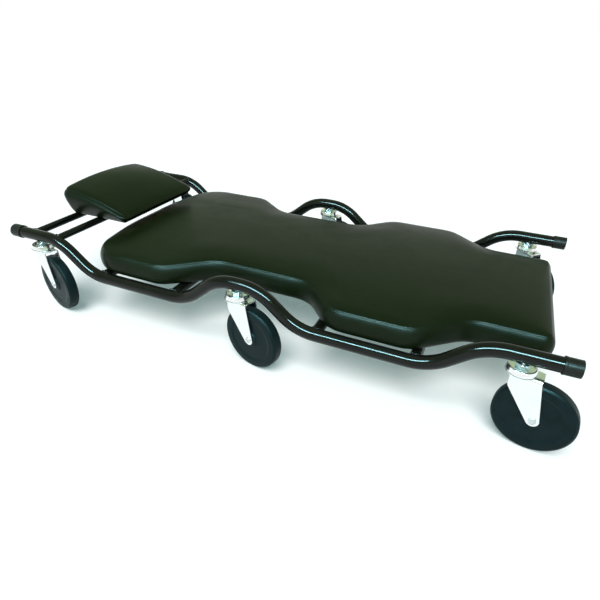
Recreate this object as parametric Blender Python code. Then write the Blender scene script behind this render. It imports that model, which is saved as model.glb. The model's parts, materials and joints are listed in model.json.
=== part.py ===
"""Mechanic creeper: a padded board on two bent tube rails and six swivel casters.

Metres, +Z up. The origin is on the floor under the middle of the frame, the head end is at -X, and the
right-hand side of someone lying on it is at -Y.
"""
import math

import bmesh
import bpy
from mathutils import Matrix, Vector

# Casters: swivel axis on the rail, wheel trailing behind it
CASTER_PITCH = 0.505
CASTER_TURN = {
    "head_right": -16.0,
    "mid_right": -13.6,
    "foot_right": -8.5,
    "head_left": -16.0,
    "mid_left": -15.0,
    "foot_left": -45.0,
}
TRAIL = 0.038
WHEEL_D = 0.129
WHEEL_WIDTH = 0.0225
WHEEL_SIDE_ROOM = 0.0015
RIM_DEPTH = 0.013
WEB_RECESS = 0.004
HUB_D = 0.032
BUSH_OD = 0.012
AXLE_D = 0.008
AXLE_HEAD_D = 0.0125
AXLE_HEAD_H = 0.0018
FORK_PLATE = 0.0025
FORK_OVER_WHEEL = 0.0098
FORK_REAR_X = 0.034
LEG_FRONT_X = -0.013
LEG_FRONT_DROP = 0.024
LEG_TIP_R = 0.010
FORK_DISC_D = 0.049
RACE_D = 0.048
RACE_RIM_D = 0.043
RACE_WALL = 0.002
RACE_FLOOR = 0.0047
RACE_CAP_H = 0.0085
KING_PIN_D = 0.012
KING_HEAD_D = 0.018
KING_HEAD_H = 0.0025
COLLAR_AF = 0.019
COLLAR_H = 0.0085
STUD_D = 0.010

# Side rails: one bent tube on each side, arched over its casters
TUBE_OD = 0.0254
TUBE_WALL = 0.0016
RAIL_DROP = 0.067
RAIL_OVERHANG = 0.074
SLOPE = math.radians(40)
BEND_RADIUS = 0.100
SWING_GAP = 0.0062
END_SLOPE_BACK = 0.097

# End caps slipped over the rails
CAP_WALL = 0.0016
CAP_LENGTH = 0.026
CAP_END_WALL = 0.003
CAP_EDGE = 0.0025

# Cross tubes under the main board, and the two bars under the headrest
CROSS_OD = 0.0222
CROSS_OUT = 0.012
HEAD_BAR_OD = 0.016
HEAD_BAR_AHEAD = 0.024
HEAD_BAR_BEHIND = 0.045

# Main pad: widths, and the stations where its outline turns, measured from the casters
PAD_WIDE = 0.2445
PAD_TO_RAIL = 0.004
WHEEL_ROOM = 0.079
HEAD_FLAT = 0.085
HEAD_BOW_R = 0.500
PAD_HEAD_BACK = 0.097
HEAD_CORNER_BACK = 0.127
SHOULDER_END_X = -0.188
WAIST_HEAD_X = -0.098
WAIST_FOOT_X = 0.112
HIP_HEAD_X = 0.178
HIP_FOOT_BACK = 0.171
SHANK_HEAD_BACK = 0.085
PAD_FOOT_PAST = 0.0525
HEAD_CORNER_R = 0.085
PAD_CORNER_R = 0.065
FOOT_CORNER_R = 0.021
PAD_HEIGHT = 0.047
PAD_CROWN = 0.004
PAD_TUCK = 0.006
PAD_ROUND = 0.018
BOARD_THICK = 0.009
BOARD_INSET = 0.016

# Headrest: a wedge pillow, thick at the head end
REST_LENGTH = 0.190
REST_WIDTH = 0.272
REST_PAST_BAR = 0.022
REST_PEAK = 0.070
REST_TOE = 0.023
REST_LEAN = 0.004
REST_CORNER_R = 0.022
REST_TUCK = 0.009
REST_ROUND = 0.020
REST_BOARD_THICK = 0.008
REST_BOARD_INSET = 0.016

# Bolts through the tubes into the boards
BOLT_D = 0.006
BOLT_HEAD_AF = 0.010
BOLT_HEAD_H = 0.004
BOLT_BITE = 0.006
PAD_BOLT_Y = 0.120
REST_BOLT_Y = 0.060

# Clearances
SEAT_GAP = 0.0003
RUN_GAP = 0.0005

# Facets
ARC_STEP = math.radians(15)
TUBE_SIDES = 12
WHEEL_SIDES = 20
DISC_SIDES = 18
TURNED_SIDES = 14
PIN_SIDES = 10
BOLT_SIDES = 8

# Heights and places worked out from the sizes above, from the floor up
TUBE_R = TUBE_OD / 2
CROSS_R = CROSS_OD / 2
HEAD_BAR_R = HEAD_BAR_OD / 2
WHEEL_R = WHEEL_D / 2
LEG_INNER = WHEEL_WIDTH / 2 + WHEEL_SIDE_ROOM
LEG_OUTER = LEG_INNER + FORK_PLATE
FORK_TOP = WHEEL_D + FORK_OVER_WHEEL + FORK_PLATE
CAP_Z = FORK_TOP + RUN_GAP
COLLAR_Z = CAP_Z + RACE_FLOOR + SEAT_GAP
STUD_Z = COLLAR_Z + COLLAR_H
ARCH_Z = STUD_Z + SEAT_GAP + TUBE_R
DIP_Z = ARCH_Z - RAIL_DROP
BOARD_Z = DIP_Z + CROSS_R + SEAT_GAP
PAD_Z = BOARD_Z + SEAT_GAP
PAD_TOP = PAD_Z + PAD_HEIGHT
REST_BOARD_Z = ARCH_Z + HEAD_BAR_R + SEAT_GAP
REST_Z = REST_BOARD_Z + SEAT_GAP
RAIL_Y = PAD_WIDE + PAD_TO_RAIL
PAD_NARROW = RAIL_Y - WHEEL_ROOM
PAD_HEAD_X = PAD_HEAD_BACK - CASTER_PITCH
PAD_FOOT_X = CASTER_PITCH + PAD_FOOT_PAST
HEAD_BAR_X = (-CASTER_PITCH - HEAD_BAR_AHEAD, -CASTER_PITCH + HEAD_BAR_BEHIND)
REST_HEAD_X = HEAD_BAR_X[0] - REST_PAST_BAR

# Rail bends: the middle arch is as wide as a wheel swinging under it needs
RAIL_END_X = CASTER_PITCH + RAIL_OVERHANG
SLOPE_RUN = RAIL_DROP / math.tan(SLOPE)
SWING_REACH = WHEEL_R + TUBE_R + SWING_GAP - (ARCH_Z - RAIL_DROP / 2 - WHEEL_R) * math.cos(SLOPE)
MID_SLOPE_X = TRAIL + SWING_REACH / math.sin(SLOPE)
END_SLOPE_X = CASTER_PITCH - END_SLOPE_BACK
BEND_TANGENT = BEND_RADIUS * math.tan(SLOPE / 2)
CROSS_X_NEAR = MID_SLOPE_X + SLOPE_RUN / 2 + BEND_TANGENT
CROSS_X_FAR = END_SLOPE_X - SLOPE_RUN / 2 - BEND_TANGENT + CROSS_OUT


def clear_scene():
    for item in list(bpy.data.objects):
        bpy.data.objects.remove(item, do_unlink=True)


def material(name, colour, roughness, metallic=0.0):
    made = bpy.data.materials.new(name)
    made.use_nodes = True
    shader = made.node_tree.nodes["Principled BSDF"]
    shader.inputs["Base Color"].default_value = (*colour, 1.0)
    shader.inputs["Roughness"].default_value = roughness
    shader.inputs["Metallic"].default_value = metallic
    return made


def circle(radius, sides, turn=0.0):
    """Corners of a regular polygon whose corners lie on the radius."""
    steps = [turn + 2 * math.pi * i / sides for i in range(sides)]
    return [(radius * math.cos(a), radius * math.sin(a)) for a in steps]


def around(radius, sides):
    """Corner radius of a polygon whose flats clear a round of this radius."""
    return radius / math.cos(math.pi / sides)


def loft(name, rings, closed=False):
    """Mesh through rings of equal count, capped at both ends, or closed from the last ring to the first."""
    bm = bmesh.new()
    loops = [[bm.verts.new(point) for point in ring] for ring in rings]
    pairs = list(zip(loops, loops[1:]))
    if closed:
        pairs.append((loops[-1], loops[0]))
    for a, b in pairs:
        for i in range(len(a)):
            j = (i + 1) % len(a)
            bm.faces.new((a[i], a[j], b[j], b[i]))
    if not closed:
        bm.faces.new(loops[0])
        bm.faces.new(loops[-1])
    bmesh.ops.recalc_face_normals(bm, faces=bm.faces)
    mesh = bpy.data.meshes.new(name)
    bm.to_mesh(mesh)
    bm.free()
    mesh.shade_smooth()
    mesh.set_sharp_from_angle(angle=math.radians(35))
    return mesh


def turned(name, profile, sides, closed=False, half_step=False):
    """Turn a profile of (radius, height) pairs about Z."""
    turn = math.pi / sides if half_step else 0.0
    rings = [[(x, y, z) for x, y in circle(r, sides, turn)] for r, z in profile]
    return loft(name, rings, closed)


def extruded(name, outline, low, high):
    """Prism of a plan outline between two heights."""
    return loft(name, [[(x, y, low) for x, y in outline], [(x, y, high) for x, y in outline]])


def moved(mesh, matrix):
    mesh.transform(matrix)
    return mesh


def place(name, mesh, finish=None, parent=None):
    made = bpy.data.objects.new(name, mesh)
    bpy.context.scene.collection.objects.link(made)
    if finish:
        mesh.materials.clear()
        mesh.materials.append(finish)
    made.parent = parent
    return made


def empty(name, location, turn=0.0, parent=None):
    made = bpy.data.objects.new(name, None)
    bpy.context.scene.collection.objects.link(made)
    made.location = location
    made.rotation_euler = (0.0, 0.0, turn)
    made.parent = parent
    return made


def tool(name, mesh):
    """A cutter: it shapes other pieces and isn't one itself."""
    made = place(name, mesh)
    made.hide_render = True
    made.display_type = "WIRE"
    return made


def combine(target, other, operation):
    step = target.modifiers.new(other.name, "BOOLEAN")
    step.operation = operation
    step.object = other
    step.solver = "EXACT"


def merged(name, meshes):
    """One mesh holding several, still as separate shells."""
    bm = bmesh.new()
    for mesh in meshes:
        bm.from_mesh(mesh)
    made = bpy.data.meshes.new(name)
    bm.to_mesh(made)
    bm.free()
    return made


def baked(name, mesh, steps):
    """Mesh after a list of (operation, mesh) boolean steps."""
    body = place(name, mesh)
    helpers = [place(f"{name}_step_{i}", other) for i, (_, other) in enumerate(steps)]
    for helper, (operation, _) in zip(helpers, steps):
        combine(body, helper, operation)
    graph = bpy.context.evaluated_depsgraph_get()
    result = bpy.data.meshes.new_from_object(body.evaluated_get(graph))
    for item in [body, *helpers]:
        bpy.data.objects.remove(item, do_unlink=True)
    return result


def filleted(points, radii):
    """Open path through points, with each inner corner rounded to its radius."""
    path = [Vector(points[0])]
    for before, corner, after, radius in zip(points, points[1:], points[2:], radii):
        corner = Vector(corner)
        into = (corner - Vector(before)).normalized()
        out = (Vector(after) - corner).normalized()
        angle = into.angle(out)
        start = corner - into * radius * math.tan(angle / 2)
        side = (out - into * into.dot(out)).normalized()
        steps = max(2, math.ceil(angle / ARC_STEP - 0.01))
        for i in range(steps + 1):
            a = angle * i / steps
            path.append(start + into * radius * math.sin(a) + side * radius * (1 - math.cos(a)))
    path.append(Vector(points[-1]))
    return path


def rail_path():
    """Centre line of a rail in its own plane, as (x, z) points from the head end to the foot end."""
    corners = [(-RAIL_END_X, ARCH_Z)]
    for sign, slope_x in ((-1, -END_SLOPE_X), (1, -MID_SLOPE_X), (-1, MID_SLOPE_X), (1, END_SLOPE_X)):
        heights = (ARCH_Z, DIP_Z) if sign < 0 else (DIP_Z, ARCH_Z)
        corners.append((slope_x - SLOPE_RUN / 2, heights[0]))
        corners.append((slope_x + SLOPE_RUN / 2, heights[1]))
    corners.append((RAIL_END_X, ARCH_Z))
    return filleted(corners, [BEND_RADIUS] * (len(corners) - 2))


def swept(path, y, radius, sides):
    """Rings of a round section carried along a path in the plane at y."""
    rings = []
    for i, point in enumerate(path):
        ahead = path[min(i + 1, len(path) - 1)]
        behind = path[max(i - 1, 0)]
        along = (ahead - behind).normalized()
        across = Vector((-along.y, along.x))
        ring = []
        for c, s in circle(radius, sides, math.pi / sides):
            ring.append((point.x + across.x * s, y + c, point.y + across.y * s))
        rings.append(ring)
    return rings


def bar_rings(radius, sides, x, z):
    """Rings of a straight bar along Y, from one rail's centre line to the other's."""
    ends = (-RAIL_Y, RAIL_Y)
    return [[(x + a, y, z + b) for a, b in circle(radius, sides, math.pi / sides)] for y in ends]


def pad_outline(inset):
    """Closed plan outline of the main pad, moved in by inset."""
    half = [
        (PAD_HEAD_X, 0.0),
        (PAD_HEAD_X, HEAD_FLAT),
        (HEAD_CORNER_BACK - CASTER_PITCH, PAD_WIDE),
        (SHOULDER_END_X, PAD_WIDE),
        (WAIST_HEAD_X, PAD_NARROW),
        (WAIST_FOOT_X, PAD_NARROW),
        (HIP_HEAD_X, PAD_WIDE),
        (CASTER_PITCH - HIP_FOOT_BACK, PAD_WIDE),
        (CASTER_PITCH - SHANK_HEAD_BACK, PAD_NARROW),
        (PAD_FOOT_X, PAD_NARROW),
        (PAD_FOOT_X, 0.0),
    ]
    radii = [HEAD_BOW_R, HEAD_CORNER_R] + [PAD_CORNER_R] * 6 + [FOOT_CORNER_R]
    side = filleted(half, radii)
    whole = side + [Vector((p.x, -p.y)) for p in reversed(side[1:-1])]
    return shrunk(whole, inset)


def rest_outline(inset):
    """Closed plan outline of the headrest, moved in by inset."""
    toe = REST_HEAD_X + REST_LENGTH
    half = REST_WIDTH / 2
    corners = [(REST_HEAD_X, 0.0), (REST_HEAD_X, half), (toe, half), (toe, 0.0)]
    side = filleted(corners, [REST_CORNER_R] * 2)
    whole = side + [Vector((p.x, -p.y)) for p in reversed(side[1:-1])]
    return shrunk(whole, inset)


def shrunk(outline, inset):
    """Outline moved along its own normals towards the inside."""
    moved_points = []
    for i, point in enumerate(outline):
        along = (outline[(i + 1) % len(outline)] - outline[i - 1]).normalized()
        moved_points.append(point + Vector((along.y, -along.x)) * inset)
    return moved_points


def level(outline, z):
    return [(p.x, p.y, z) for p in outline]


def make_rails(finish):
    path = rail_path()
    hole = circle(around(STUD_D / 2 + SEAT_GAP, PIN_SIDES), PIN_SIDES)
    for name, y in (("right_rail", -RAIL_Y), ("left_rail", RAIL_Y)):
        outer = swept(path, y, TUBE_R, TUBE_SIDES)
        inner = swept(path, y, TUBE_R - TUBE_WALL, TUBE_SIDES)
        rail = place(name, loft(name, outer + inner[::-1], closed=True), finish)
        drills = []
        for x in caster_stations():
            plan = [(x + a, y + b) for a, b in hole]
            drills.append(extruded("stud_drill", plan, ARCH_Z - TUBE_OD, ARCH_Z))
        combine(rail, tool(f"{name}_drill", merged("stud_drills", drills)), "DIFFERENCE")


def make_end_caps(finish):
    bore = around(TUBE_R + SEAT_GAP, TURNED_SIDES)
    outer = TUBE_R + SEAT_GAP + CAP_WALL
    floor = CAP_END_WALL - SEAT_GAP
    profile = [
        (bore, floor),
        (bore, CAP_LENGTH),
        (outer, CAP_LENGTH),
        (outer, CAP_EDGE),
        (outer - CAP_EDGE * 0.3, CAP_EDGE * 0.3),
        (outer - CAP_EDGE, 0.0),
    ]
    end_x = RAIL_END_X + CAP_END_WALL
    for end, sign in (("head", -1), ("foot", 1)):
        lay = Matrix.Rotation(-sign * math.pi / 2, 4, "Y")
        for side, y in (("right", -RAIL_Y), ("left", RAIL_Y)):
            name = f"{end}_{side}_cap"
            cap = place(name, moved(turned(name, profile, TURNED_SIDES), lay), finish)
            cap.location = (sign * end_x, y, ARCH_Z)


def rail_clearance():
    """Both rails grown by the welding gap, to cope the ends of the bars."""
    path = rail_path()
    radius = around(TUBE_R + SEAT_GAP, TUBE_SIDES)
    grown = [loft("rail_room", swept(path, y, radius, TUBE_SIDES)) for y in (-RAIL_Y, RAIL_Y)]
    return tool("rail_room", merged("rail_room", grown))


def bolt_drill(name, spots, low, high):
    hole = circle(around(BOLT_D / 2 + SEAT_GAP, BOLT_SIDES), BOLT_SIDES)
    drills = [extruded("bolt_drill", [(x + a, y + b) for a, b in hole], low, high) for x, y in spots]
    return tool(name, merged(name, drills))


def make_bar(name, outside, x, z, finish, cutters):
    outer = bar_rings(outside, TUBE_SIDES, x, z)
    inner = bar_rings(outside - TUBE_WALL, TUBE_SIDES, x, z)
    bar = place(name, loft(name, outer + inner[::-1], closed=True), finish)
    for cutter in cutters:
        combine(bar, cutter, "DIFFERENCE")


def make_bolt(name, x, y, head_z, tip_z, finish):
    shank = turned(name, [(BOLT_D / 2, head_z - BOLT_HEAD_H / 2), (BOLT_D / 2, tip_z)], BOLT_SIDES)
    head_r = around(BOLT_HEAD_AF / 2, 6)
    head = turned(name, [(head_r, head_z - BOLT_HEAD_H), (head_r, head_z)], 6)
    bolt = place(name, baked(name, head, [("UNION", shank)]), finish)
    bolt.location = (x, y, 0.0)


def make_cross_tubes_and_main_pad(tube_finish, board_finish, vinyl, bolt_finish):
    stations = {
        "shoulder_head_tube": -CROSS_X_FAR,
        "shoulder_waist_tube": -CROSS_X_NEAR,
        "hip_waist_tube": CROSS_X_NEAR,
        "hip_foot_tube": CROSS_X_FAR,
    }
    bolted = {"shoulder": -CROSS_X_FAR, "hip": CROSS_X_FAR}
    spots = [(x, y) for x in bolted.values() for y in (-PAD_BOLT_Y, PAD_BOLT_Y)]
    head_z = DIP_Z - CROSS_R - SEAT_GAP
    tip_z = BOARD_Z + BOLT_BITE
    room = rail_clearance()
    drill = bolt_drill("pad_bolt_drill", spots, head_z - BOLT_HEAD_H, tip_z + SEAT_GAP)
    for name, x in stations.items():
        cutters = [room, drill] if x in bolted.values() else [room]
        make_bar(name, CROSS_R, x, DIP_Z, tube_finish, cutters)

    plank = extruded("main_board", pad_outline(BOARD_INSET), BOARD_Z, BOARD_Z + BOARD_THICK)
    board = place("main_board", plank, board_finish)
    combine(board, drill, "DIFFERENCE")
    make_main_cushion(vinyl)
    for place_name, x in bolted.items():
        for side, y in (("right", -PAD_BOLT_Y), ("left", PAD_BOLT_Y)):
            make_bolt(f"{place_name}_{side}_bolt", x, y, head_z, tip_z, bolt_finish)


def make_main_cushion(vinyl):
    """Foam pad wrapped round the board's edge: full sides, drawn in below, crowned on top."""
    pocket = BOARD_INSET - SEAT_GAP
    ceiling = BOARD_Z + BOARD_THICK + SEAT_GAP
    sides = [(pocket, ceiling), (pocket, PAD_Z)]
    for inset, share in ((PAD_TUCK, 0.0), (PAD_TUCK * 0.4, 0.08), (0.0, 0.36)):
        sides.append((inset, PAD_Z + PAD_HEIGHT * share))
    for inset, share in ((0.03, 0.6), (0.19, 0.82), (0.47, 0.94), (1.0, 1.0)):
        sides.append((PAD_ROUND * inset, PAD_Z + PAD_HEIGHT * share))
    rings = [level(pad_outline(inset), z) for inset, z in sides]
    shoulder = pad_outline(PAD_ROUND)
    spine_head = PAD_HEAD_X + PAD_NARROW
    spine_foot = PAD_FOOT_X - PAD_NARROW
    for share in (0.4, 0.8):
        towards = [p.lerp(Vector((min(max(p.x, spine_head), spine_foot), 0.0)), share) for p in shoulder]
        rings.append(level(towards, PAD_TOP + PAD_CROWN * math.sin(share * math.pi / 2)))
    place("main_cushion", loft("main_cushion", rings), vinyl)


def rest_ring(outline, share):
    """Ring of the wedge pillow at a share of its height, which falls from the head end to the toe."""
    ring = []
    for p in outline:
        along = (p.x - REST_HEAD_X) / REST_LENGTH
        height = REST_TOE + (REST_PEAK - REST_TOE) * (1 - along**2)
        ring.append((p.x - REST_LEAN * share * (1 - along), p.y, REST_Z + height * share))
    return ring


def make_headrest(tube_finish, board_finish, vinyl, bolt_finish):
    spots = [(x, y) for x in HEAD_BAR_X for y in (-REST_BOLT_Y, REST_BOLT_Y)]
    head_z = ARCH_Z - HEAD_BAR_R - SEAT_GAP
    tip_z = REST_BOARD_Z + BOLT_BITE
    room = bpy.data.objects["rail_room"]
    drill = bolt_drill("rest_bolt_drill", spots, head_z - BOLT_HEAD_H, tip_z + SEAT_GAP)
    for name, x in zip(("headrest_head_bar", "headrest_body_bar"), HEAD_BAR_X):
        make_bar(name, HEAD_BAR_R, x, ARCH_Z, tube_finish, [room, drill])

    outline = rest_outline(REST_BOARD_INSET)
    plank = extruded("headrest_board", outline, REST_BOARD_Z, REST_BOARD_Z + REST_BOARD_THICK)
    board = place("headrest_board", plank, board_finish)
    combine(board, drill, "DIFFERENCE")
    make_headrest_cushion(vinyl)
    for bar, x in zip(("head", "body"), HEAD_BAR_X):
        for side, y in (("right", -REST_BOLT_Y), ("left", REST_BOLT_Y)):
            make_bolt(f"headrest_{bar}_{side}_bolt", x, y, head_z, tip_z, bolt_finish)


def make_headrest_cushion(vinyl):
    """Wedge pillow wrapped round its board, drawn in below and rounded over on top."""
    pocket = rest_outline(REST_BOARD_INSET - SEAT_GAP)
    ceiling = REST_BOARD_Z + REST_BOARD_THICK + SEAT_GAP
    rings = [level(pocket, ceiling), level(pocket, REST_Z)]
    middle = Vector((REST_HEAD_X + REST_LENGTH / 2, 0.0))
    for inset, share in ((REST_TUCK, 0.0), (REST_TUCK * 0.3, 0.08), (0.0, 0.3), (0.0, 0.55)):
        rings.append(rest_ring(rest_outline(inset), share))
    for inset, share in ((0.1, 0.72), (0.4, 0.87), (1.0, 0.97)):
        rings.append(rest_ring(rest_outline(REST_ROUND * inset), share))
    for share in (0.25, 0.5, 0.75, 0.95):
        rings.append(rest_ring([p.lerp(middle, share) for p in rest_outline(REST_ROUND)], 1.0))
    place("headrest_cushion", loft("headrest_cushion", rings), vinyl)


def caster_stations():
    return (-CASTER_PITCH, 0.0, CASTER_PITCH)


def leg_outline():
    """Side view of a fork leg, as (x, z): wide at the plate, tapering to a round tip on the axle."""
    tip = Vector((TRAIL, WHEEL_R))
    top = FORK_TOP - FORK_PLATE / 2
    front = Vector((LEG_FRONT_X, top - LEG_FRONT_DROP))
    rear = Vector((FORK_REAR_X - FORK_PLATE / 2, top))
    start = tangent_angle(tip, front, 1)
    end = tangent_angle(tip, rear, -1) + 2 * math.pi
    steps = math.ceil((end - start) / (2 * ARC_STEP))
    outline = [(LEG_FRONT_X, top), tuple(front)]
    for i in range(steps + 1):
        a = start + (end - start) * i / steps
        outline.append((tip.x + LEG_TIP_R * math.cos(a), tip.y + LEG_TIP_R * math.sin(a)))
    outline.append(tuple(rear))
    return outline


def tangent_angle(centre, point, hand):
    """Angle on the tip circle where the line from a point touches it, on the chosen hand."""
    reach = point - centre
    return math.atan2(reach.y, reach.x) + hand * math.acos(LEG_TIP_R / reach.length)


def fork_mesh():
    """Pressed fork: round disc and rear plate on top, two tapered legs, holes for king pin and axle."""
    low = FORK_TOP - FORK_PLATE
    edge_r = FORK_DISC_D / 2
    hole = around(KING_PIN_D / 2 + RUN_GAP, PIN_SIDES)
    profile = [
        (hole, FORK_TOP),
        (hole, low),
        (edge_r - FORK_PLATE / 2, low),
        (edge_r, low + FORK_PLATE / 2),
        (edge_r, FORK_TOP),
    ]
    disc = turned("fork", profile, DISC_SIDES, closed=True)
    edge = LEG_INNER + FORK_PLATE / 2
    rear = [(KING_HEAD_D / 2, -edge), (FORK_REAR_X, -edge)]
    rear += [(x, -y) for x, y in reversed(rear)]
    plate = extruded("fork_plate", rear, low + FORK_PLATE * 0.1, FORK_TOP - FORK_PLATE * 0.1)
    outline = leg_outline()
    steps = [("UNION", plate)]
    for a, b in ((-LEG_OUTER, -LEG_INNER), (LEG_INNER, LEG_OUTER)):
        leg = loft("fork_leg", [[(x, y, z) for x, z in outline] for y in (a, b)])
        steps.append(("UNION", leg))
    bore = around(AXLE_D / 2 + SEAT_GAP, PIN_SIDES)
    drill = turned("axle_drill", [(bore, -2 * LEG_OUTER), (bore, 2 * LEG_OUTER)], PIN_SIDES)
    steps.append(("DIFFERENCE", moved(drill, axle_matrix())))
    return baked("fork", disc, steps)


def axle_matrix():
    """Turns a piece made about Z onto the wheel's axle."""
    return Matrix.Translation((TRAIL, 0.0, WHEEL_R)) @ Matrix.Rotation(math.pi / 2, 4, "X")


def stem_mesh():
    """King pin with a headed lower end, hex collar under the rail and a stud inside it."""
    pin = KING_PIN_D / 2
    low = FORK_TOP - FORK_PLATE - RUN_GAP
    profile = [
        (KING_HEAD_D / 2, low - KING_HEAD_H),
        (KING_HEAD_D / 2, low),
        (pin, low),
        (pin, COLLAR_Z),
        (pin, STUD_Z),
        (STUD_D / 2, STUD_Z),
        (STUD_D / 2, ARCH_Z + TUBE_R / 2),
    ]
    collar_r = around(COLLAR_AF / 2, 6)
    collar = turned("collar", [(collar_r, COLLAR_Z), (collar_r, STUD_Z)], 6)
    return baked("stem", turned("stem", profile, PIN_SIDES), [("UNION", collar)])


def race_cap_mesh():
    """Pressed upper race: a dish whose wall leans in as it rises, with the hex collar standing on its floor."""
    bore = around(KING_PIN_D / 2 + SEAT_GAP, TURNED_SIDES)
    rim = RACE_RIM_D / 2
    floor = CAP_Z + RACE_FLOOR
    top = CAP_Z + RACE_CAP_H
    profile = [
        (bore, floor),
        (bore, CAP_Z),
        (RACE_D / 2, CAP_Z),
        (rim, top),
        (rim - RACE_WALL, top),
        (rim - 2 * RACE_WALL, floor),
    ]
    return turned("race_cap", profile, TURNED_SIDES, closed=True)


def wheel_mesh():
    """Solid wheel: crowned tread, round shoulders, a raised rim, a recessed web and a hub."""
    half = WHEEL_WIDTH / 2
    tread = around(WHEEL_R, WHEEL_SIDES)
    rim = WHEEL_R - RIM_DEPTH
    hub = HUB_D / 2
    web = half - WEB_RECESS
    bore = around(BUSH_OD / 2 + RUN_GAP, WHEEL_SIDES)
    hub_end = LEG_INNER - RUN_GAP * 3
    side = [
        (bore, hub_end),
        (hub, hub_end),
        (hub + WEB_RECESS / 2, web),
        (rim - WEB_RECESS / 2, web),
        (rim, half),
        (WHEEL_R - RIM_DEPTH * 0.35, half * 0.93),
        (tread, half * 0.55),
    ]
    profile = side + [(r, -z) for r, z in reversed(side)]
    mesh = turned("wheel", profile, WHEEL_SIDES, closed=True, half_step=True)
    return moved(mesh, Matrix.Rotation(math.pi / 2, 4, "X"))


def bushing_mesh():
    bore = around(AXLE_D / 2 + SEAT_GAP, PIN_SIDES)
    end = LEG_INNER - SEAT_GAP
    profile = [(bore, -end), (bore, end), (BUSH_OD / 2, end), (BUSH_OD / 2, -end)]
    return moved(turned("bushing", profile, PIN_SIDES, closed=True), axle_matrix())


def axle_mesh():
    """Rivet through both legs, with a flat head on each side."""
    seat = LEG_OUTER + SEAT_GAP
    end = seat + AXLE_HEAD_H
    head = AXLE_HEAD_D / 2
    half = [(AXLE_D / 2, seat), (head, seat), (head * 0.85, end)]
    profile = [(r, -z) for r, z in reversed(half)] + half
    return moved(turned("axle", profile, PIN_SIDES), axle_matrix())


def make_casters(zinc, rivet_steel, bush_steel, rubber):
    shared = {
        "stem": (stem_mesh(), rivet_steel),
        "race_cap": (race_cap_mesh(), zinc),
        "fork": (fork_mesh(), zinc),
        "axle": (axle_mesh(), rivet_steel),
        "bushing": (bushing_mesh(), bush_steel),
    }
    wheel = wheel_mesh()
    stations = dict(zip(("head", "mid", "foot"), caster_stations()))
    for caster, degrees in CASTER_TURN.items():
        end, side = caster.split("_")
        y = -RAIL_Y if side == "right" else RAIL_Y
        swivel = empty(f"{caster}_swivel", (stations[end], y, 0.0), math.radians(degrees))
        for piece, (mesh, finish) in shared.items():
            place(f"{caster}_{piece}", mesh, finish, swivel)
        spin = empty(f"{caster}_spin", (TRAIL, 0.0, WHEEL_R), parent=swivel)
        place(f"{caster}_wheel", wheel, rubber, spin)


def main():
    clear_scene()
    black_tube = material("black_gloss_tube", (0.012, 0.012, 0.013), 0.22, 0.0)
    black_vinyl_cap = material("black_cap", (0.018, 0.018, 0.019), 0.45, 0.0)
    vinyl = material("black_vinyl", (0.020, 0.021, 0.018), 0.42, 0.0)
    plywood = material("plywood", (0.42, 0.28, 0.15), 0.7, 0.0)
    zinc = material("bright_zinc", (0.80, 0.81, 0.80), 0.25, 1.0)
    steel = material("plated_steel", (0.62, 0.63, 0.63), 0.32, 1.0)
    dark_steel = material("dark_steel", (0.20, 0.20, 0.21), 0.45, 1.0)
    rubber = material("black_rubber", (0.022, 0.024, 0.026), 0.55, 0.0)
    make_rails(black_tube)
    make_end_caps(black_vinyl_cap)
    make_cross_tubes_and_main_pad(black_tube, plywood, vinyl, steel)
    make_headrest(black_tube, plywood, vinyl, steel)
    make_casters(zinc, steel, dark_steel, rubber)


main()
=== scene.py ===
"""Mechanic creeper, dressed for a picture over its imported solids. Metres, +Z up, head end at -X."""
import json
import math

import bpy
import numpy as np
from mathutils import Matrix


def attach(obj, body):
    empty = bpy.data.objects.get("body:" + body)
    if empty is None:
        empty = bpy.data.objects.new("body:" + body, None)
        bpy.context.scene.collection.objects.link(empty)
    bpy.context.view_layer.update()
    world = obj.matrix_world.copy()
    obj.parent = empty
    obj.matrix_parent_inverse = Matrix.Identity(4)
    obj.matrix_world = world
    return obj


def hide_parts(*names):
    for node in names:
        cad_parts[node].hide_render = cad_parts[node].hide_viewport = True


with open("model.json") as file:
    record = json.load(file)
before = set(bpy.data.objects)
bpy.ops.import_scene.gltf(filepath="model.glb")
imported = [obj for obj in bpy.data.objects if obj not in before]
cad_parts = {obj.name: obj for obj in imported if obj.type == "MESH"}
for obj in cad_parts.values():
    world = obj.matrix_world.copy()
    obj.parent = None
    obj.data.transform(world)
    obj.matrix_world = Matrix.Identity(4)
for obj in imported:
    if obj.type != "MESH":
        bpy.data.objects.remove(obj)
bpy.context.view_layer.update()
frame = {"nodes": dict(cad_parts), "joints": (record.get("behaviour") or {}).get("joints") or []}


# Side rails. Each is one length of 1 inch steel tube, bent up over every caster and down between them,
# and sprayed with gloss black enamel. Its arches stand on the casters' studs.
RAIL_Y, RAIL_R, RAIL_END_X, RAIL_STEP = 0.2485, 0.0127, 0.579, 0.004
ARCH_Z, DIP_Z, BEND_R, SLOPE = 0.1683, 0.1013, 0.100, math.radians(40)
SLOPE_X = (-0.408, -0.0840, 0.0840, 0.408)
SLOPE_RUN = (ARCH_Z - DIP_Z) / math.tan(SLOPE)


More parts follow.
